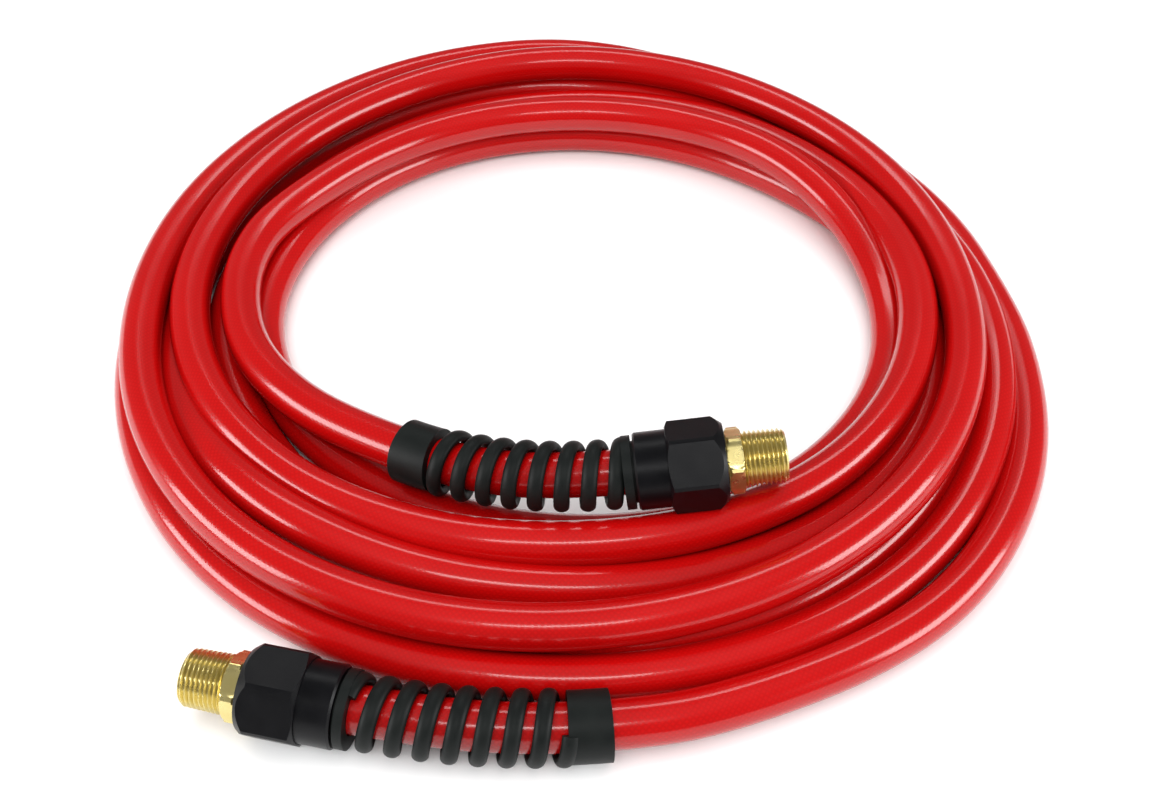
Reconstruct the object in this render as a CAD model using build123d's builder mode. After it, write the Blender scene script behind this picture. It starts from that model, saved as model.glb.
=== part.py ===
"""Coiled air hose with a swivelling male pipe fitting and a spiral bend restrictor at each end.

Units are millimetres and degrees. The coil lies on the plane z = 0, +Z is up, and the origin is
under the middle of the whole coil. End A is the inner end, which rests across the coil. End B is
the outer end, which lies on the ground beside it.
"""
from build123d import *
from math import cos, pi, radians, sin, tan
import os

os.makedirs("parts", exist_ok=True)

# ---------------------------------------------------------------- driving dimensions
HOSE_R = 14.3 / 2               # 9/16 in braided polyurethane hose
BORE_R = 9.5 / 2                # 3/8 in bore

# Distances along a fitting, from the tip of its thread towards the hose.
THREAD_END = 13.2
HEX_END = 18.0
WASHER_FRONT = 18.3
NUT_FRONT = 18.4
HEAD_FRONT = 18.9
RETAINER_AT = 21.0
ORING_AT = 24.5
SPIGOT_END = 27.0
SOCKET_END = 27.5
HEAD_BACK = 28.5
FERRULE_FRONT = 28.7
NUT_CONE_START = 29.1
NUT_HEX_END = 36.0
FERRULE_BACK = 38.2
NUT_CONE_END = 38.6
NUT_SEAT = 40.6                 # front of the pocket that holds the restrictor's plug
NUT_BACK = 46.0
RING_START = 46.8               # base ring of the bend restrictor
BEND_START = 49.6               # the fitting is straight up to here
COLLAR_START = 109.8
COLLAR_END = 121.9

# Male connector: 3/8-18 taper pipe thread, drawn as a plain cylinder.
THREAD_R = 8.55                 # of the crests, halfway along the thread
THREAD_CHAMFER = 0.9
AIR_BORE_R = 3.5
HEX_FLATS = 18.0
SPIGOT_R = 5.95
RETAINER_GROOVE_R = 5.4
ORING_GROOVE_R = 4.35

# Swivel joint pieces.
ORING_WIRE_R = 0.8
RETAINER_WIRE_R = 0.5
RETAINER_CENTRE_R = 6.0
WASHER_INNER_R = 6.1
WASHER_OUTER_R = 8.4

# Hose stem: a head with the swivel socket, and the barbed tube that the hose is pushed over.
HEAD_R = 10.1
SOCKET_R = 6.0
SOCKET_GROOVE_R = 6.55
STEM_BORE_R = 3.6
BARB_TUBE_R = 4.6
BARB_R = 5.25
BARB_PITCH = 3.2
BARB_COUNT = 6
FLARED_BORE_R = 5.3             # bore of the hose where the barbs stretch it

# Clamp nut and the split ferrule that it squeezes onto the hose.
NUT_FLATS = 25.4
NUT_FACE_R = 11.9
NUT_CORNER_R = 14.3             # the hex corners are turned down to this
NUT_SKIRT_R = 12.0
NUT_BORE_R = 10.2
NUT_THROAT_R = 8.3
NUT_POCKET_R = 9.6
CONE_WIDE_R = 10.0
CONE_NARROW_R = 8.4
FERRULE_PLAY = 0.05
FERRULE_BORE_R = 7.2
FERRULE_SLOT = 1.2

# Bend restrictor: plug, base ring, open spiral and end collar, in one moulding.
RESTRICTOR_BORE_R = 7.3
PLUG_R = 9.55
RING_R = 11.4
COLLAR_R = 10.3
SPIRAL_THICKNESS = 3.6          # of the spiral's oval strand, outwards
SPIRAL_WIDTH = 4.9              # and along the fitting
SPIRAL_R = 9.25                 # radius of the strand's own centre line
SPIRAL_TURNS = 7.9

# The coil: rings of hose around one centre, two layers deep.
COIL_X = -1.4
COIL_Y = 7.6
LAYER = 2 * HOSE_R
COIL_HEIGHT = 27.0
COIL_ROUNDING = 5.0
LANE_PLAY = 0.3

# Middle of the hose from each collar to the coil, after its first point at the collar.
TAIL_A_ROUTE = [
    (-75.9, -64.2, 22.4),
    (-97.5, -47.2, 20.4),
    (-114.3, -25.8, 19.8),
    (-122.8, -1.5, 19.8),
    (-124.5, 24.0, 19.8),
    (-117.5, 50.0, 19.8),
]
TAIL_B_ROUTE = [
    (22.6, -164.9, 10.3),
    (39.2, -160.6, 9.4),
    (60.5, -152.6, 8.3),
    (84.5, -141.6, 7.4),
    (108.5, -126.2, 7.2),
    (127.5, -106.5, 7.2),
    (143.3, -80.5, 7.2),
    (153.2, -53.0, 7.2),
    (157.4, -23.5, 7.2),
    (157.0, 7.6, 7.2),
]


class HoseEnd:
    """Where one fitting is: z runs along it from the thread's tip, x is the side it bends towards."""

    def __init__(self, name, tip, yaw, pitch, side, bend, hex_turn, nut_turn, spiral_turn):
        across = Vector(cos(radians(yaw + 90 * side)), sin(radians(yaw + 90 * side)), 0)
        along = Vector(
            cos(radians(yaw)) * cos(radians(pitch)),
            sin(radians(yaw)) * cos(radians(pitch)),
            sin(radians(pitch)),
        )
        self.name = name
        self.frame = Plane(origin=tip, x_dir=across, z_dir=along)
        self.axis = Axis(self.frame.origin, self.frame.z_dir)
        self.profile = Plane(origin=self.frame.origin, x_dir=across, z_dir=-self.frame.y_dir)
        self.bend_radius = (COLLAR_END - BEND_START) / radians(bend)
        self.hex_turn = hex_turn
        self.nut_turn = nut_turn
        self.spiral_turn = spiral_turn

    def place(self, distance, out=0.0, angle=0.0):
        """Point at a distance along the fitting, at a radius from its middle and an angle round it."""
        side = out * cos(radians(angle))
        up = out * sin(radians(angle))
        if distance <= BEND_START:
            return self.frame.from_local_coords((side, up, distance))
        swing = (distance - BEND_START) / self.bend_radius
        arm = self.bend_radius - side
        local = (self.bend_radius - arm * cos(swing), up, BEND_START + arm * sin(swing))
        return self.frame.from_local_coords(local)

    def section(self, distance):
        """Plane square to the middle of the fitting."""
        middle = self.place(distance)
        side = (self.place(distance, 1.0) - middle).normalized()
        up = (self.place(distance, 1.0, 90) - middle).normalized()
        return Plane(origin=middle, x_dir=side, z_dir=side.cross(up))


END_A = HoseEnd("a", (63.0, -90.5, 39.3), 182.5, -7.0, -1, 32.0, hex_turn=28, nut_turn=20, spiral_turn=-17)
END_B = HoseEnd("b", (-111.7, -152.8, 14.2), -11.8, -1.63, 1, 18.0, hex_turn=25, nut_turn=-4.5, spiral_turn=99)


def save(piece, name):
    piece.label = name
    export_step(piece, f"parts/{name}.step")
    print(f"{name}: {piece.volume:.0f} mm3")


def turned(end, points, mode=Mode.ADD):
    """Solid of revolution about the fitting, from (radius, distance) points."""
    with BuildSketch(end.profile) as outline:
        with BuildLine():
            Polyline(points, close=True)
        make_face()
    revolve(outline.sketch, axis=end.axis, mode=mode)


def bored(end, start, stop, radius):
    """Straight round hole along the fitting."""
    with BuildSketch(end.section(start)) as opening:
        Circle(radius)
    extrude(opening.sketch, amount=stop - start, mode=Mode.SUBTRACT)


def arc_along(end, start, stop):
    return ThreePointArc(end.place(start), end.place((start + stop) / 2), end.place(stop))


# ---------------------------------------------------------------- pieces of one fitting
def make_male_connector(end):
    """Brass piece: pipe thread, wrench hex, and the grooved spigot that turns in the stem."""
    hex_corner_r = HEX_FLATS / 2 / cos(radians(30))
    with BuildPart() as connector:
        with BuildSketch(end.frame.offset(THREAD_END)):
            RegularPolygon(HEX_FLATS / 2, 6, major_radius=False, rotation=end.hex_turn)
        extrude(amount=HEX_END - THREAD_END)
        turned(end, [
            (0, THREAD_END),
            (hex_corner_r - 0.9, THREAD_END),
            (hex_corner_r, THREAD_END + 0.6),
            (hex_corner_r, HEX_END - 0.6),
            (hex_corner_r - 0.9, HEX_END),
            (0, HEX_END),
        ], mode=Mode.INTERSECT)
        turned(end, [
            (0, 0),
            (THREAD_R - THREAD_CHAMFER, 0),
            (THREAD_R, THREAD_CHAMFER),
            (THREAD_R, THREAD_END),
            (0, THREAD_END),
        ])
        turned(end, [
            (0, HEX_END),
            (SPIGOT_R, HEX_END),
            (SPIGOT_R, RETAINER_AT - 0.6),
            (RETAINER_GROOVE_R, RETAINER_AT - 0.6),
            (RETAINER_GROOVE_R, RETAINER_AT + 0.6),
            (SPIGOT_R, RETAINER_AT + 0.6),
            (SPIGOT_R, ORING_AT - 0.9),
            (ORING_GROOVE_R, ORING_AT - 0.9),
            (ORING_GROOVE_R, ORING_AT + 0.9),
            (SPIGOT_R, ORING_AT + 0.9),
            (SPIGOT_R, SPIGOT_END - 0.5),
            (SPIGOT_R - 0.5, SPIGOT_END),
            (0, SPIGOT_END),
        ])
        bored(end, 0, SPIGOT_END, AIR_BORE_R)
    save(connector.part, f"male_connector_{end.name}")


def make_swivel_oring(end):
    """O-ring in the spigot's deep groove."""
    with BuildPart() as oring:
        with BuildSketch(end.profile):
            with Locations((ORING_GROOVE_R + ORING_WIRE_R + 0.02, ORING_AT)):
                Circle(ORING_WIRE_R)
        revolve(axis=end.axis)
    save(oring.part, f"swivel_oring_{end.name}")


def make_retaining_ring(end):
    """Split wire ring, half in the spigot and half in the stem, that keeps them together."""
    with BuildPart() as retainer:
        with BuildSketch(end.profile):
            with Locations((RETAINER_CENTRE_R, RETAINER_AT)):
                Circle(RETAINER_WIRE_R)
        revolve(axis=end.axis, revolution_arc=340)
    save(retainer.part, f"swivel_retaining_ring_{end.name}")


def make_thrust_washer(end):
    """Flat washer between the connector's hex and the stem's head."""
    with BuildPart() as washer:
        turned(end, [
            (WASHER_INNER_R, WASHER_FRONT),
            (WASHER_OUTER_R, WASHER_FRONT),
            (WASHER_OUTER_R, HEAD_FRONT),
            (WASHER_INNER_R, HEAD_FRONT),
        ])
    save(washer.part, f"swivel_thrust_washer_{end.name}")


def make_hose_stem(end):
    """Head with the swivel socket, and a barbed tube inside the hose."""
    outline = [
        (STEM_BORE_R, SOCKET_END),
        (SOCKET_R, SOCKET_END),
        (SOCKET_R, RETAINER_AT + 0.55),
        (SOCKET_GROOVE_R, RETAINER_AT + 0.55),
        (SOCKET_GROOVE_R, RETAINER_AT - 0.55),
        (SOCKET_R, RETAINER_AT - 0.55),
        (SOCKET_R, HEAD_FRONT + 0.3),
        (SOCKET_R + 0.3, HEAD_FRONT),
        (HEAD_R - 0.5, HEAD_FRONT),
        (HEAD_R, HEAD_FRONT + 0.5),
        (HEAD_R, HEAD_BACK),
        (BARB_TUBE_R, HEAD_BACK),
    ]
    for barb in range(BARB_COUNT):
        root = HEAD_BACK + 1.5 + barb * BARB_PITCH
        outline += [(BARB_TUBE_R, root), (BARB_R, root + 0.4), (BARB_TUBE_R, root + BARB_PITCH - 0.3)]
    outline += [(BARB_TUBE_R, BEND_START - 0.4), (BARB_TUBE_R - 0.4, BEND_START), (STEM_BORE_R, BEND_START)]
    with BuildPart() as stem:
        turned(end, outline)
    save(stem.part, f"hose_stem_{end.name}")


def make_ferrule(end):
    """Slotted cone that the nut squeezes onto the hose."""
    with BuildPart() as ferrule:
        turned(end, [
            (FERRULE_BORE_R, FERRULE_FRONT),
            (CONE_WIDE_R - FERRULE_PLAY, FERRULE_FRONT),
            (CONE_NARROW_R - FERRULE_PLAY, FERRULE_BACK),
            (FERRULE_BORE_R, FERRULE_BACK),
        ])
        with BuildSketch(end.frame.offset(FERRULE_FRONT)):
            with Locations(((FERRULE_BORE_R + CONE_WIDE_R) / 2, 0)):
                Rectangle(CONE_WIDE_R, FERRULE_SLOT)
        extrude(amount=FERRULE_BACK - FERRULE_FRONT, mode=Mode.SUBTRACT)
    save(ferrule.part, f"compression_ferrule_{end.name}")


def make_clamp_nut(end):
    """Hex nut with a coned front, a round skirt, and a tapered inside."""
    with BuildPart() as nut:
        with BuildSketch(end.frame.offset(NUT_FRONT)):
            RegularPolygon(NUT_FLATS / 2, 6, major_radius=False, rotation=end.nut_turn)
        extrude(amount=NUT_HEX_END - NUT_FRONT)
        turned(end, [
            (0, NUT_FRONT),
            (NUT_FACE_R, NUT_FRONT),
            (NUT_CORNER_R, NUT_FRONT + 3.2),
            (NUT_CORNER_R, NUT_HEX_END - 1.0),
            (NUT_SKIRT_R + 0.5, NUT_HEX_END),
            (0, NUT_HEX_END),
        ], mode=Mode.INTERSECT)
        turned(end, [
            (0, NUT_HEX_END),
            (NUT_SKIRT_R, NUT_HEX_END),
            (NUT_SKIRT_R, NUT_BACK - 0.6),
            (NUT_SKIRT_R - 0.6, NUT_BACK),
            (0, NUT_BACK),
        ])
        turned(end, [
            (0, NUT_FRONT),
            (NUT_BORE_R, NUT_FRONT),
            (NUT_BORE_R, NUT_CONE_START),
            (CONE_WIDE_R, NUT_CONE_START),
            (CONE_NARROW_R, NUT_CONE_END),
            (NUT_THROAT_R, NUT_CONE_END),
            (NUT_THROAT_R, NUT_SEAT),
            (NUT_POCKET_R, NUT_SEAT),
            (NUT_POCKET_R, NUT_BACK),
            (0, NUT_BACK),
        ], mode=Mode.SUBTRACT)
    save(nut.part, f"clamp_nut_{end.name}")


def make_bend_restrictor(end):
    """Plug and ring at the nut, left-handed open spiral round the hose, and a collar at its end."""
    start = BEND_START - 0.6
    stop = COLLAR_START + 0.6
    steps = round(SPIRAL_TURNS * 8)
    centres = []
    for step in range(steps + 1):
        share = step / steps
        angle = end.spiral_turn - 360 * SPIRAL_TURNS * share
        centres.append(end.place(start + (stop - start) * share, SPIRAL_R, angle))
    outwards = end.place(start, SPIRAL_R, end.spiral_turn) - end.place(start)
    with BuildPart() as restrictor:
        with BuildLine() as spiral:
            Spline(centres)
        with BuildSketch(Plane(origin=spiral.line @ 0, x_dir=outwards, z_dir=spiral.line % 0)):
            Ellipse(SPIRAL_THICKNESS / 2, SPIRAL_WIDTH / 2)
        sweep(path=spiral.line, is_frenet=True)
        turned(end, [
            (RESTRICTOR_BORE_R, NUT_SEAT + 0.1),
            (PLUG_R, NUT_SEAT + 0.1),
            (PLUG_R, RING_START),
            (RING_R, RING_START),
            (RING_R, BEND_START),
            (RESTRICTOR_BORE_R, BEND_START),
        ])
        with BuildLine() as middle:
            arc_along(end, COLLAR_START, COLLAR_END)
        with BuildSketch(end.section(COLLAR_START)):
            Circle(COLLAR_R)
            Circle(RESTRICTOR_BORE_R, mode=Mode.SUBTRACT)
        sweep(path=middle.line)
    save(restrictor.part, f"bend_restrictor_{end.name}")


def make_hose_end(end):
    """The hose inside the fitting and its restrictor, up to the end of the collar."""
    with BuildPart() as hose:
        with BuildLine() as middle:
            Line(end.place(HEAD_BACK), end.place(BEND_START))
            arc_along(end, BEND_START, COLLAR_END)
        with BuildSketch(end.section(HEAD_BACK)):
            Circle(HOSE_R)
            Circle(BORE_R, mode=Mode.SUBTRACT)
        sweep(path=middle.line)
        bored(end, HEAD_BACK, BEND_START, FLARED_BORE_R)
    save(hose.part, f"hose_end_{end.name}")


# ---------------------------------------------------------------- free hose
def corner_radii(points):
    """Largest radii that fit the route's corners: 0.45 of the shorter run over tan(turn / 2)."""
    radii = []
    for before, corner, after in zip(points, points[1:], points[2:]):
        turn = (corner - before).get_angle(after - corner)
        run = min((corner - before).length, (after - corner).length)
        radii.append(0.45 * run / tan(radians(turn / 2)))
    return radii


def make_hose_tail(end, route):
    """The hose between a collar and the coil."""
    points = [end.place(COLLAR_END)] + [Vector(*point) for point in route]
    radii = corner_radii(points)
    print(f"hose_tail_{end.name} radii: " + ", ".join(f"{radius:.0f}" for radius in radii))
    with BuildPart() as tail:
        with BuildLine() as middle:
            FilletPolyline(*points, radius=radii)
        with BuildSketch(Plane(origin=middle.line @ 0, z_dir=middle.line % 0)):
            Circle(HOSE_R)
        sweep(path=middle.line)
    length = sum(edge.length for edge in middle.line.edges())
    print(f"length {length:.1f} mm, section times length {pi * HOSE_R ** 2 * length:.0f} mm3")
    print("starts at " + ", ".join(f"{value:.1f}" for value in points[0]))
    save(tail.part, f"hose_tail_{end.name}")


def plan(end, route):
    """The tail's route seen from above."""
    start = end.place(COLLAR_END)
    return [Vector(start.X, start.Y)] + [Vector(x, y) for x, y, z in route]


def rounded_ring(outer_centre, outer_r, inner_centre, inner_r, bottom, top):
    with BuildPart() as ring:
        with BuildSketch(Plane.XY.offset(bottom)):
            with Locations(outer_centre):
                Circle(outer_r)
            with Locations(inner_centre):
                Circle(inner_r, mode=Mode.SUBTRACT)
        extrude(amount=top - bottom)
        fillet(ring.edges().filter_by(GeomType.CIRCLE), radius=COIL_ROUNDING)
    return ring.part


def lane(points, beside):
    """Plan of the room that a tail needs: its own width, and all that is on the open side of it."""
    with BuildSketch() as room:
        with BuildLine():
            FilletPolyline(*points, radius=corner_radii(points))
        trace(line_width=2 * (HOSE_R + LANE_PLAY))
        with BuildLine():
            Polyline(points + beside, close=True)
        make_face()
    return room.sketch


def make_hose_coil():
    """Outer shape of the coiled turns, with room for the two tails and the fitting that rests on it."""
    lower = rounded_ring((-1.0, 8.0), 165.0, (COIL_X + 1, COIL_Y + 3), 104.5, 0, LAYER)
    upper = rounded_ring((COIL_X - 8, COIL_Y + 18), 153.0, (COIL_X - 1, COIL_Y - 2), 110.0, LAYER, COIL_HEIGHT)
    plan_a = plan(END_A, TAIL_A_ROUTE)
    plan_b = plan(END_B, TAIL_B_ROUTE)
    last_a = (plan_a[-1] - plan_a[-2]).normalized()
    inside_a = [plan_a[-1] + 60 * Vector(last_a.Y, -last_a.X), Vector(-30, -50)]
    outside_b = [Vector(200, plan_b[-1].Y), Vector(200, -200), Vector(-90, -200)]
    outside_b += [Vector(-90, -154.6), Vector(plan_b[0].X, -154.6)]
    with BuildPart() as coil:
        add(lower)
        add(upper)
        with BuildSketch(Plane.XY.offset(LAYER - 2)):
            add(lane(plan_a, inside_a))
        extrude(amount=2 * LAYER, mode=Mode.SUBTRACT)
        with BuildSketch():
            add(lane(plan_b, outside_b))
        extrude(amount=LAYER, mode=Mode.SUBTRACT)
        with BuildSketch(END_A.frame.offset(-5)):
            Circle(NUT_CORNER_R + 1.6)
        extrude(amount=BEND_START + 20, mode=Mode.SUBTRACT)
    save(coil.part, "hose_coil")


for hose_end, route in ((END_A, TAIL_A_ROUTE), (END_B, TAIL_B_ROUTE)):
    make_male_connector(hose_end)
    make_swivel_oring(hose_end)
    make_retaining_ring(hose_end)
    make_thrust_washer(hose_end)
    make_hose_stem(hose_end)
    make_ferrule(hose_end)
    make_clamp_nut(hose_end)
    make_bend_restrictor(hose_end)
    make_hose_end(hose_end)
    make_hose_tail(hose_end, route)
make_hose_coil()
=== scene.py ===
from math import cos, floor, pi, radians, sin

import bpy
from mathutils import Matrix, Vector


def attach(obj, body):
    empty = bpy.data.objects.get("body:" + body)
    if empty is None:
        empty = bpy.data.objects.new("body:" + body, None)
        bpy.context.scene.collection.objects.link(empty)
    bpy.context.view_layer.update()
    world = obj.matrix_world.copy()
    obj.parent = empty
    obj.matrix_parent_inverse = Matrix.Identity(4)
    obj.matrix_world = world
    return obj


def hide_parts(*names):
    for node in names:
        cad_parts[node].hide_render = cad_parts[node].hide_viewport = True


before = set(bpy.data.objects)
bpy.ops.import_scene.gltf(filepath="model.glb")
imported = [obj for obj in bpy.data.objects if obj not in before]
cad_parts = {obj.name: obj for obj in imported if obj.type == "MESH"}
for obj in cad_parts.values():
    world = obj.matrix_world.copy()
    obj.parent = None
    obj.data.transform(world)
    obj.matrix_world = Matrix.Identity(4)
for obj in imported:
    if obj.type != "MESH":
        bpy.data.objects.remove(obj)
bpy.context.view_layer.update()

# ---------------------------------------------------------------- camera
camera_data = bpy.data.cameras.new("camera")
camera_data.sensor_width = 36.0
camera_data.lens = 42.0
camera = bpy.data.objects.new("camera", camera_data)
camera.location = (0.0, -0.3637, 0.347)
camera.rotation_euler = (radians(44.0), 0.0, 0.0)
bpy.context.collection.objects.link(camera)
bpy.context.scene.camera = camera

# ---------------------------------------------------------------- sizes, in metres
HOSE_R = 0.00715
HOSE_D = 2 * HOSE_R
HOSE_SIDES = 32
GROUND_TURN_Z = 0.0072

# Each fitting: the tip of its thread, the direction from there towards the hose in degrees, the side
# that its end bends towards, and how far the brass hex is turned.
TIP_A = Vector((0.0630, -0.0905, 0.0393))
TIP_B = Vector((-0.1117, -0.1528, 0.0142))
YAW_A, PITCH_A, SIDE_A = 182.5, -7.0, -1
YAW_B, PITCH_B, SIDE_B = -11.8, -1.63, 1
BRASS_TURN_A = 28.0
BRASS_TURN_B = 25.0

# Middle of the hose inside each fitting and restrictor, from the stem to the collar.
IN_FITTING_A = [
    (0.0347, -0.0917, 0.0358),
    (-0.0042, -0.0934, 0.0310),
    (-0.0393, -0.0849, 0.0268),
]
IN_FITTING_B = [
    (-0.0838, -0.1586, 0.0134),
    (-0.0454, -0.1666, 0.0123),
    (-0.0093, -0.1684, 0.0113),
]

# Middle of the hose from each collar to the coil.
TAIL_A = [
    (-0.0759, -0.0642, 0.0224),
    (-0.0975, -0.0472, 0.0204),
    (-0.1143, -0.0258, 0.0198),
    (-0.1228, -0.0015, 0.0198),
    (-0.1245, 0.0240, 0.0198),
    (-0.1175, 0.0500, 0.0198),
]
TAIL_B = [
    (0.0226, -0.1649, 0.0103),
    (0.0392, -0.1606, 0.0094),
    (0.0605, -0.1526, 0.0083),
    (0.0845, -0.1416, 0.0074),
    (0.1085, -0.1262, 0.0072),
    (0.1275, -0.1065, 0.0072),
    (0.1433, -0.0805, 0.0072),
    (0.1532, -0.0530, 0.0072),
    (0.1574, -0.0235, 0.0072),
    (0.1570, 0.0076, 0.0072),
]

# The coil: how far out and how far up the hose lies, in hose diameters, at eight places round each
# turn. A turn takes two lines: left, far left, far, far right, then right, near right, near, near left.
COIL_X = -0.0014
COIL_Y = 0.0076
INNER_TURN_R = 0.116
STATIONS = 8
POINTS_PER_TURN = 16
FIRST_COIL_POINT = 2
LAST_COIL_POINT = 103
COIL_STATIONS = [
    (0.45, 0.87), (-0.05, 0.88), (-0.35, 0.90), (-0.10, 0.92),
    (0.05, 0.00), (-0.40, 0.00), (-0.84, 0.00), (-0.73, 0.00),
    (-0.04, 0.00), (0.07, 0.00), (-0.06, 0.00), (0.05, 0.00),
    (0.95, 0.00), (0.95, 0.00), (0.72, 0.22), (1.68, 0.97),
    (2.05, 0.00), (2.30, 0.00), (2.50, 0.00), (1.35, 0.00),
    (1.78, 0.00), (1.92, 0.00), (1.95, 0.00), (0.45, 0.00),
    (0.92, 0.00), (1.10, 0.00), (1.40, 0.00), (0.90, 0.43),
    (0.57, 0.87), (0.30, 0.87), (-0.05, 0.78), (0.80, 0.85),
    (1.70, 0.87), (2.05, 0.92), (2.35, 0.97), (1.88, 0.92),
    (1.62, 0.87), (1.88, 0.97), (2.17, 0.88), (2.71, 0.86),
    (2.72, 0.87), (3.05, 0.75), (3.35, 0.62), (2.00, 0.20),
    (2.36, 0.30), (2.90, 0.00), (2.83, 0.00), (3.13, 0.00),
    (2.99, 0.00), (3.40, 0.00), (3.75, 0.00), (2.60, 0.00),
    (2.97, 0.00),
]


def between_stations(turn):
    """How far out and up the hose is, as smooth curves through the stations."""
    index = floor(turn * STATIONS)
    share = turn * STATIONS - index
    last = len(COIL_STATIONS) - 1
    near = [COIL_STATIONS[min(max(index + step, 0), last)][0] for step in (-1, 0, 1, 2)]
    before, start, stop, after = near
    slope = stop - before
    square = 2 * before - 5 * start + 4 * stop - after
    cube = 3 * (start - stop) + after - before
    out = start + 0.5 * share * (slope + share * (square + share * cube))
    low, high = COIL_STATIONS[index][1], COIL_STATIONS[index + 1][1]
    up = low + (high - low) * share * share * (3 - 2 * share)
    return out, up


def coil_points():
    """Control points of the coil's turns, clockwise from the left as seen from above."""
    points = []
    for index in range(FIRST_COIL_POINT, LAST_COIL_POINT + 1):
        turn = index / POINTS_PER_TURN
        out, up = between_stations(turn)
        radius = (INNER_TURN_R + HOSE_D * out) / cos(pi / POINTS_PER_TURN)
        angle = 2 * pi * turn
        height = GROUND_TURN_Z + HOSE_D * up
        points.append((COIL_X - radius * cos(angle), COIL_Y + radius * sin(angle), height))
    return points


# ---------------------------------------------------------------- hose
def nurbs_line(name, points):
    """Points along the smooth spline that has these control points."""
    curve = bpy.data.curves.new(name, "CURVE")
    curve.dimensions = "3D"
    curve.resolution_u = 12
    spline = curve.splines.new("NURBS")
    spline.points.add(len(points) - 1)
    for control, point in zip(spline.points, points):
        control.co = (*point, 1.0)
    spline.order_u = 3
    spline.use_endpoint_u = True
    holder = bpy.data.objects.new(name, curve)
    bpy.context.collection.objects.link(holder)
    bpy.context.view_layer.update()
    line = bpy.data.meshes.new_from_object(holder.evaluated_get(bpy.context.evaluated_depsgraph_get()))
    path = [vertex.co.copy() for vertex in line.vertices]
    bpy.data.objects.remove(holder)
    bpy.data.curves.remove(curve)
    bpy.data.meshes.remove(line)
    return path


def tube_mesh(name, path, radius, sides):
    """Closed round tube along a path, with uv: circumferences along it, and turns round it."""
    vertices, lengths = [], [0.0]
    across = Vector((0.0, 0.0, 1.0))
    for index, point in enumerate(path):
        ahead = path[min(index + 1, len(path) - 1)] - path[max(index - 1, 0)]
        ahead.normalize()
        across = (across - ahead * across.dot(ahead)).normalized()
        side = ahead.cross(across)
        for step in range(sides):
            angle = 2 * pi * step / sides
            vertices.append(point + radius * (cos(angle) * across + sin(angle) * side))
        if index:
            lengths.append(lengths[-1] + (point - path[index - 1]).length)
    faces, uvs = [], []
    for ring in range(len(path) - 1):
        for step in range(sides):
            after = (step + 1) % sides
            low, high = ring * sides, (ring + 1) * sides
            faces.append((low + step, low + after, high + after, high + step))
            for place, turn in ((ring, step), (ring, step + 1), (ring + 1, step + 1), (ring + 1, step)):
                uvs += [lengths[place] / (2 * pi * radius), turn / sides]
    faces.append(tuple(range(sides))[::-1])
    faces.append(tuple(range(len(vertices) - sides, len(vertices))))
    uvs += [0.0, 0.0] * (2 * sides)
    mesh = bpy.data.meshes.new(name)
    mesh.from_pydata(vertices, [], faces)
    mesh.uv_layers.new(name="length_and_turn").data.foreach_set("uv", uvs)
    mesh.shade_smooth()
    return mesh, lengths[-1]


def add_piece(name, mesh, body):
    """Object that moves with a body of the frame."""
    piece = bpy.data.objects.new(name, mesh)
    bpy.context.collection.objects.link(piece)
    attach(piece, body)
    return piece


route = IN_FITTING_A + TAIL_A + coil_points() + TAIL_B[::-1] + IN_FITTING_B[::-1]
hose_path = nurbs_line("hose_route", route)
hose_mesh, hose_length = tube_mesh("hose", hose_path, HOSE_R, HOSE_SIDES)
hose = add_piece("hose", hose_mesh, "root")
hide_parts("hose_coil", "hose_tail_a", "hose_tail_b", "hose_end_a", "hose_end_b")
print(f"hose length {hose_length:.3f} m")


# ---------------------------------------------------------------- brass connectors
THREAD_PITCH = 0.0254 / 18
THREAD_DEPTH = 0.0010
THREAD_HALF_FLAT = 1 / 24
THREAD_TIP_R = 0.00834
THREAD_CHAMFER = 0.0011
THREAD_RUNOUT = 0.0008
THREAD_END = 0.0132
RINGS_PER_PITCH = 14
HEX_END = 0.0180
HEX_FLATS = 0.0180
# Rounded hex corners: how far in from each face, and how much of the corner's radius is gone there.
HEX_ROUNDING = [(0.0, 0.0013), (0.0002, 0.0009), (0.0008, 0.0)]
SPIGOT_R = 0.00595
SPIGOT_END = 0.0270
AIR_BORE_R = 0.0035
BORE_CHAMFER = 0.0006
SEGMENTS = 180
SHARP_EDGE = 28.0


def fitting_matrix(tip, yaw, pitch, side):
    """Local z runs along the fitting from the thread's tip, and x is the side that it bends towards."""
    along = Vector((
        cos(radians(yaw)) * cos(radians(pitch)),
        sin(radians(yaw)) * cos(radians(pitch)),
        sin(radians(pitch)),
    ))
    across = Vector((cos(radians(yaw + 90 * side)), sin(radians(yaw + 90 * side)), 0.0))
    matrix = Matrix((across, along.cross(across), along)).transposed().to_4x4()
    matrix.translation = tip
    return matrix


def thread_radius(distance, angle):
    """Radius of the taper thread, with a chamfered start and a plain run-out before the hex."""
    taper = 1 / 32
    crest = THREAD_TIP_R + distance * taper
    phase = (distance / THREAD_PITCH - angle / (2 * pi)) % 1.0
    depth = (abs(phase - 0.5) - THREAD_HALF_FLAT) / (0.5 - 2 * THREAD_HALF_FLAT)
    radius = crest - THREAD_DEPTH * min(max(depth, 0.0), 1.0)
    chamfer = THREAD_TIP_R - THREAD_CHAMFER + distance
    runout = crest - THREAD_DEPTH * max(0.0, 1 - (THREAD_END - distance) / THREAD_RUNOUT)
    return min(radius, chamfer, runout)


def hex_radius(flats, angle, turn):
    """Distance from the middle of a hex to its edge, in one direction."""
    from_flat = (angle - radians(turn)) % radians(60) - radians(30)
    return flats / 2 / cos(from_flat)


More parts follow.
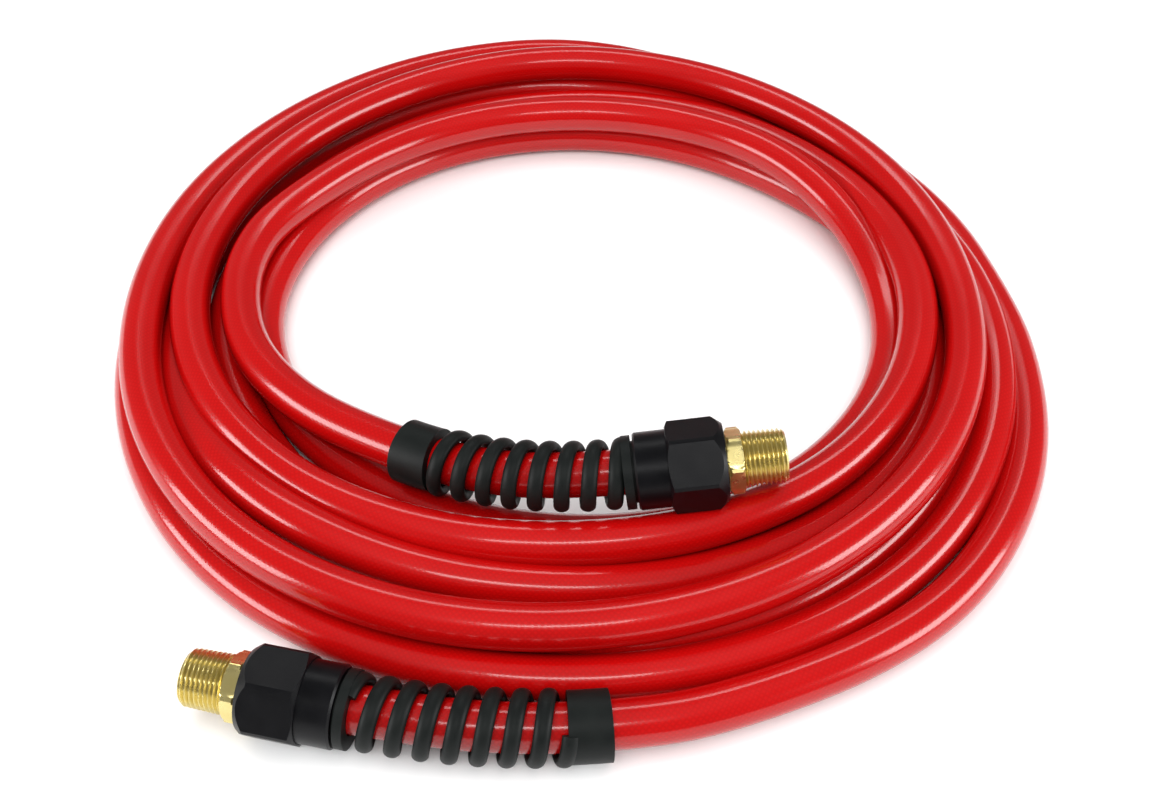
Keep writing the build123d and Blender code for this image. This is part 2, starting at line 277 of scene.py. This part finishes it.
def connector_mesh(name, matrix, turn):
    """Closed surface made of rings: air bore, thread, hex and spigot."""
    corner = HEX_FLATS / 2 / cos(radians(30))
    rings = [(SPIGOT_END, lambda angle: AIR_BORE_R), (BORE_CHAMFER, lambda angle: AIR_BORE_R)]
    rings.append((0.0, lambda angle: AIR_BORE_R + BORE_CHAMFER))
    steps = round(THREAD_END / THREAD_PITCH * RINGS_PER_PITCH)
    for step in range(steps + 1):
        distance = THREAD_END * step / steps
        rings.append((distance, lambda angle, distance=distance: thread_radius(distance, angle)))
    hex_rings = [(THREAD_END + inset, corner - cut) for inset, cut in HEX_ROUNDING]
    hex_rings += [(HEX_END - inset, corner - cut) for inset, cut in reversed(HEX_ROUNDING)]
    for distance, limit in hex_rings:
        rings.append((
            distance,
            lambda angle, limit=limit: min(limit, hex_radius(HEX_FLATS, angle, turn)),
        ))
    rings.append((HEX_END, lambda angle: SPIGOT_R))
    rings.append((SPIGOT_END, lambda angle: SPIGOT_R))
    vertices, faces = [], []
    for distance, radius_at in rings:
        for step in range(SEGMENTS):
            angle = 2 * pi * step / SEGMENTS
            radius = radius_at(angle)
            vertices.append(matrix @ Vector((radius * cos(angle), radius * sin(angle), distance)))
    for ring in range(len(rings)):
        low, high = ring * SEGMENTS, (ring + 1) % len(rings) * SEGMENTS
        for step in range(SEGMENTS):
            after = (step + 1) % SEGMENTS
            faces.append((low + step, low + after, high + after, high + step))
    mesh = bpy.data.meshes.new(name)
    mesh.from_pydata(vertices, [], faces)
    mesh.shade_smooth()
    mesh.set_sharp_from_angle(angle=radians(SHARP_EDGE))
    return mesh


matrix_a = fitting_matrix(TIP_A, YAW_A, PITCH_A, SIDE_A)
matrix_b = fitting_matrix(TIP_B, YAW_B, PITCH_B, SIDE_B)
mesh_a = connector_mesh("connector_a", matrix_a, BRASS_TURN_A)
mesh_b = connector_mesh("connector_b", matrix_b, BRASS_TURN_B)
connector_a = add_piece("threaded_connector_a", mesh_a, "swivel_a")
connector_b = add_piece("threaded_connector_b", mesh_b, "swivel_b")
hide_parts("male_connector_a")
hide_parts("male_connector_b")

# Pieces at the far end of the hose, which go wherever it goes.
ON_HOSE = ["swivel_retaining_ring", "swivel_thrust_washer", "hose_stem", "compression_ferrule"]
ON_HOSE += ["clamp_nut", "bend_restrictor", "swivel_oring"]


# ---------------------------------------------------------------- materials
def new_material(name):
    """Empty node material: its nodes, its links and its Principled shader."""
    material = bpy.data.materials.new(name)
    material.use_nodes = True
    nodes = material.node_tree.nodes
    links = material.node_tree.links
    return material, nodes, links, nodes["Principled BSDF"]


def math(nodes, links, operation, first, second=None):
    """Math node on sockets or numbers."""
    node = nodes.new("ShaderNodeMath")
    node.operation = operation
    for socket, value in zip(node.inputs, (first, second)):
        if isinstance(value, (int, float)):
            socket.default_value = value
        elif value is not None:
            links.new(value, socket)
    return node.outputs[0]


def spread(nodes, links, value, low, high, start=0.0, stop=1.0):
    """Maps a value from start..stop to low..high."""
    node = nodes.new("ShaderNodeMapRange")
    for name, number in (("From Min", start), ("From Max", stop), ("To Min", low), ("To Max", high)):
        node.inputs[name].default_value = number
    links.new(value, node.inputs["Value"])
    return node.outputs["Result"]


def ramp(nodes, links, value, colours):
    """Blends evenly from the first colour to the last."""
    node = nodes.new("ShaderNodeValToRGB")
    elements = node.color_ramp.elements
    elements[0].color = (*colours[0], 1.0)
    elements[1].color = (*colours[-1], 1.0)
    for index, colour in enumerate(colours[1:-1], 1):
        elements.new(index / (len(colours) - 1)).color = (*colour, 1.0)
    links.new(value, node.inputs["Fac"])
    return node.outputs["Color"]


def noise(nodes, links, scale, detail=3.0):
    """Noise in the object's own coordinates."""
    node = nodes.new("ShaderNodeTexNoise")
    node.inputs["Scale"].default_value = scale
    node.inputs["Detail"].default_value = detail
    links.new(nodes.new("ShaderNodeTexCoord").outputs["Object"], node.inputs["Vector"])
    return node.outputs["Fac"]


def bump(nodes, links, shader, height, strength, distance):
    node = nodes.new("ShaderNodeBump")
    node.inputs["Strength"].default_value = strength
    node.inputs["Distance"].default_value = distance
    links.new(height, node.inputs["Height"])
    links.new(node.outputs["Normal"], shader.inputs["Normal"])


def hose_material():
    """Glossy red polyurethane over a fine braid that crosses itself at 45 degrees."""
    strands_round = 24.0
    material, nodes, links, shader = new_material("red_braided_polyurethane")
    uv = nodes.new("ShaderNodeTexCoord").outputs["UV"]
    parts = nodes.new("ShaderNodeSeparateXYZ")
    links.new(uv, parts.inputs["Vector"])
    along = math(nodes, links, "MULTIPLY", parts.outputs["X"], strands_round)
    around = math(nodes, links, "MULTIPLY", parts.outputs["Y"], strands_round)
    strands = []
    for operation in ("ADD", "SUBTRACT"):
        place = math(nodes, links, operation, around, along)
        strands.append(math(nodes, links, "PINGPONG", place, 0.5))
    crossing = math(nodes, links, "MINIMUM", strands[0], strands[1])
    patches = noise(nodes, links, 38.0, 2.0)
    shade = math(nodes, links, "ADD", crossing, math(nodes, links, "MULTIPLY", patches, 0.35))
    links.new(ramp(nodes, links, shade, [
        (0.35, 0.0010, 0.0012),
        (0.45, 0.0025, 0.0025),
        (0.52, 0.0050, 0.0045),
    ]), shader.inputs["Base Color"])
    links.new(spread(nodes, links, crossing, 0.22, 0.14, 0.0, 0.5), shader.inputs["Roughness"])
    bump(nodes, links, shader, crossing, 0.08, 0.0004)
    shader.inputs["IOR"].default_value = 1.5
    shader.inputs["Specular IOR Level"].default_value = 0.35
    shader.inputs["Coat Weight"].default_value = 0.25
    shader.inputs["Coat Roughness"].default_value = 0.05
    return material


def moulded_material(name, dark, light, roughness, grain, depth):
    """Fine-grained black: patches of shade, uneven gloss and a small leathery bump."""
    material, nodes, links, shader = new_material(name)
    patches = noise(nodes, links, 160.0, 4.0)
    links.new(ramp(nodes, links, patches, [dark, light]), shader.inputs["Base Color"])
    gloss = spread(nodes, links, patches, roughness - 0.08, roughness + 0.1)
    links.new(gloss, shader.inputs["Roughness"])
    bump(nodes, links, shader, noise(nodes, links, grain, 5.0), 0.35, depth)
    shader.inputs["IOR"].default_value = 1.5
    shader.inputs["Specular IOR Level"].default_value = 0.18
    return material


def turned_material(name, dull, bright, roughness, matrix):
    """Machined metal: fine tool rings square to the fitting, and uneven tarnish."""
    material, nodes, links, shader = new_material(name)
    coordinates = nodes.new("ShaderNodeTexCoord").outputs["Object"]
    along = nodes.new("ShaderNodeVectorMath")
    along.operation = "DOT_PRODUCT"
    links.new(coordinates, along.inputs[0])
    along.inputs[1].default_value = matrix.col[2].xyz
    rings = nodes.new("ShaderNodeTexNoise")
    rings.noise_dimensions = "1D"
    rings.inputs["Scale"].default_value = 9000.0
    links.new(along.outputs["Value"], rings.inputs["W"])
    tarnish = noise(nodes, links, 260.0, 4.0)
    links.new(ramp(nodes, links, tarnish, [dull, bright]), shader.inputs["Base Color"])
    gloss = spread(nodes, links, tarnish, roughness + 0.03, roughness - 0.03)
    links.new(gloss, shader.inputs["Roughness"])
    bump(nodes, links, shader, rings.outputs["Fac"], 0.12, 0.00002)
    shader.inputs["Metallic"].default_value = 0.92
    return material


def paint(piece, material):
    """Gives a visible piece its only material."""
    piece.data.materials.clear()
    piece.data.materials.append(material)


def paint_nodes(material, *names):
    """Gives nodes of the frame their material."""
    for name in names:
        for material_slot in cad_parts[name].material_slots:
            material_slot.material = material


# Moulded pieces: dark and light colour, roughness, fineness of the grain and its depth.
MOULDED = {
    "guard_black": ((0.003, 0.004, 0.004), (0.009, 0.011, 0.010), 0.50, 1800.0, 0.0001),
    "nut_black": ((0.0010, 0.0010, 0.0014), (0.0035, 0.0035, 0.0045), 0.36, 2600.0, 0.00005),
    "seal_black": ((0.012, 0.012, 0.012), (0.030, 0.030, 0.030), 0.60, 3000.0, 0.0001),
    "washer_white": ((0.74, 0.72, 0.66), (0.86, 0.85, 0.80), 0.45, 2000.0, 0.00005),
}
moulded = {name: moulded_material(name, *look) for name, look in MOULDED.items()}
paint(hose, hose_material())
for end, matrix, connector in (("a", matrix_a, connector_a), ("b", matrix_b, connector_b)):
    brass = turned_material(f"brass_{end}", (0.62, 0.50, 0.17), (0.86, 0.74, 0.34), 0.28, matrix)
    steel = turned_material(f"spring_steel_{end}", (0.42, 0.42, 0.43), (0.62, 0.62, 0.63), 0.30, matrix)
    paint(connector, brass)
    paint_nodes(brass, f"hose_stem_{end}", f"compression_ferrule_{end}")
    paint_nodes(steel, f"swivel_retaining_ring_{end}")
    paint_nodes(moulded["seal_black"], f"swivel_oring_{end}")
    paint_nodes(moulded["washer_white"], f"swivel_thrust_washer_{end}")
    paint_nodes(moulded["nut_black"], f"clamp_nut_{end}")
    paint_nodes(moulded["guard_black"], f"bend_restrictor_{end}")


# ---------------------------------------------------------------- floor and light
FLOOR_HALF = 6.0
FLOOR_CORNERS = [(-FLOOR_HALF, -FLOOR_HALF, 0.0), (FLOOR_HALF, -FLOOR_HALF, 0.0)]
FLOOR_CORNERS += [(FLOOR_HALF, FLOOR_HALF, 0.0), (-FLOOR_HALF, FLOOR_HALF, 0.0)]


def floor_material():
    """Matt white with a faint unevenness."""
    material, nodes, links, shader = new_material("white_floor")
    whites = ramp(nodes, links, noise(nodes, links, 3.0), [(0.90, 0.90, 0.90), (0.93, 0.93, 0.93)])
    links.new(whites, shader.inputs["Base Color"])
    shader.inputs["Roughness"].default_value = 0.9
    return material


floor_mesh = bpy.data.meshes.new("floor")
floor_mesh.from_pydata(FLOOR_CORNERS, [], [(0, 1, 2, 3)])
floor_mesh.materials.append(floor_material())
ground = bpy.data.objects.new("floor", floor_mesh)
bpy.context.collection.objects.link(ground)


def softbox(name, place, size, power):
    """Area light that faces the middle of the coil."""
    data = bpy.data.lights.new(name, "AREA")
    data.shape = "RECTANGLE"
    data.size, data.size_y = size
    data.energy = power
    light = bpy.data.objects.new(name, data)
    light.location = place
    light.rotation_euler = (-Vector(place)).to_track_quat("-Z", "Y").to_euler()
    bpy.context.collection.objects.link(light)
    return light


softbox("left", (-1.25, -0.38, 0.43), (0.85, 0.45), 13.0)
softbox("right", (1.25, -0.38, 0.43), (0.85, 0.45), 13.0)
softbox("front", (0.0, -0.80, 1.10), (0.55, 0.16), 3.0)
softbox("back", (0.0, 0.95, 1.25), (1.0, 0.25), 4.0)
# The fill lights the scene from above, and isn't mirrored in glossy surfaces.
fill = softbox("fill", (0.0, -0.4, 1.8), (2.0, 2.0), 33.0)
fill.visible_glossy = False

world = bpy.data.worlds.new("world")
world.use_nodes = True
world.node_tree.nodes["Background"].inputs["Color"].default_value = (1.0, 1.0, 1.0, 1.0)
world.node_tree.nodes["Background"].inputs["Strength"].default_value = 0.18
bpy.context.scene.world = world
bpy.context.scene.view_settings.view_transform = "Standard"
